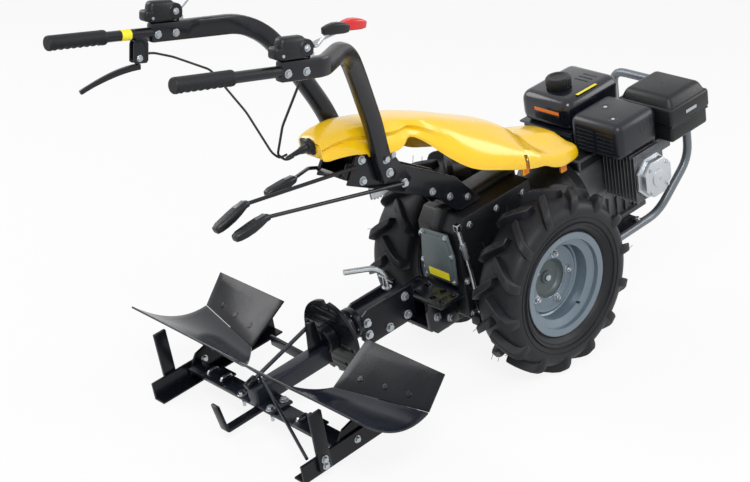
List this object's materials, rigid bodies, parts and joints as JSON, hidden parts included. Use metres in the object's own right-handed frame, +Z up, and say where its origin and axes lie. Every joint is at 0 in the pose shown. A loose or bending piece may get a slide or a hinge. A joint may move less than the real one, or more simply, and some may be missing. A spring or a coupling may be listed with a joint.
{
  "type": "walking tractor",
  "caption": "Two-wheel walking tractor with a petrol engine in front, long handlebars and a two-way turnover plough at the rear.",
  "frame": {"origin": "on the floor, under the middle of the bounding box", "axes": "+X forwards, towards the engine; +Y to the operator's left; +Z up"},
  "size_m": [1.8508, 0.91, 1.066],
  "materials": {
    "yellow_plastic": "gloss",
    "red_plastic": "gloss",
    "tyre_rubber": "matt",
    "rim_paint": "satin",
    "zinc": "zinc plated",
    "casting": "cast",
    "black_casting": "black paint",
    "tank_shell": "gloss",
    "aluminium": "cast",
    "guard_paint": "satin",
    "plough_paint": "satin",
    "plough_steel": "satin",
    "black_plastic": "matt",
    "black_paint": "satin"
  },
  "bodies": {
    "tractor": {"air_cleaner": "black_plastic", "axle_housing_left": "casting", "axle_housing_right": "casting", "cable_block": "black_plastic", "cable_clutch": "black_plastic", "cable_throttle": "black_plastic", "carburettor": "aluminium", "clutch_bell": "black_casting", "clutch_bracket": "black_paint", "clutch_lever": "black_paint", "control_pod_left": "black_plastic", "control_pod_right": "black_plastic", "cylinder_head": "aluminium", "drawbar": "plough_paint", "engine_block": "aluminium", "engine_guard": "guard_paint", "fuel_cap": "black_plastic", "fuel_tank": "tank_shell", "gearbox_case": "casting", "gearbox_cover": "casting", "grip_left": "black_plastic", "grip_right": "black_plastic", "guard_bracket": "black_paint", "handle_arm_left": "black_paint", "handle_arm_right": "black_paint", "handlebar_column": "black_casting", "hitch_jaw": "black_paint", "hitch_pin": "zinc", "hood": "yellow_plastic", "link_rod": "zinc", "muffler_shield": "black_paint", "recoil_starter": "black_plastic", "shift_lever_inner": "black_paint", "shift_lever_lower": "black_paint", "shift_lever_upper": "black_paint", "stop_lever": "red_plastic", "swivel_disc": "plough_paint", "throttle_lever_left": "black_plastic", "throttle_lever_right": "black_plastic", "valve_cover": "aluminium"},
    "wheel_left": {"tyre_left": "tyre_rubber", "rim_left": "rim_paint", "hub_left": "zinc"},
    "wheel_right": {"tyre_right": "tyre_rubber", "rim_right": "rim_paint", "hub_right": "zinc"},
    "plough": {"plough_beam": "plough_steel", "share_left": "plough_paint", "share_right": "plough_paint", "mouldboard_left": "plough_steel", "mouldboard_right": "plough_steel", "landside_left": "plough_paint", "landside_right": "plough_paint", "frog_left": "plough_paint", "frog_right": "plough_paint"}
  },
  "joints": [
    {"name": "wheel_left", "type": "hinge", "parent": "tractor", "child": "wheel_left", "pos_m": [0.27616, 0.16, 0.25], "axis": [0, 1, 0], "continuous": true},
    {"name": "wheel_right", "type": "hinge", "parent": "tractor", "child": "wheel_right", "pos_m": [0.27616, -0.24, 0.25], "axis": [0, 1, 0], "continuous": true},
    {"name": "plough_turnover", "type": "hinge", "parent": "tractor", "child": "plough", "pos_m": [-0.28096, 0, 0.17759], "axis": [0.9781, 0, 0.2079], "range_deg": [-90, 90]}
  ]
}
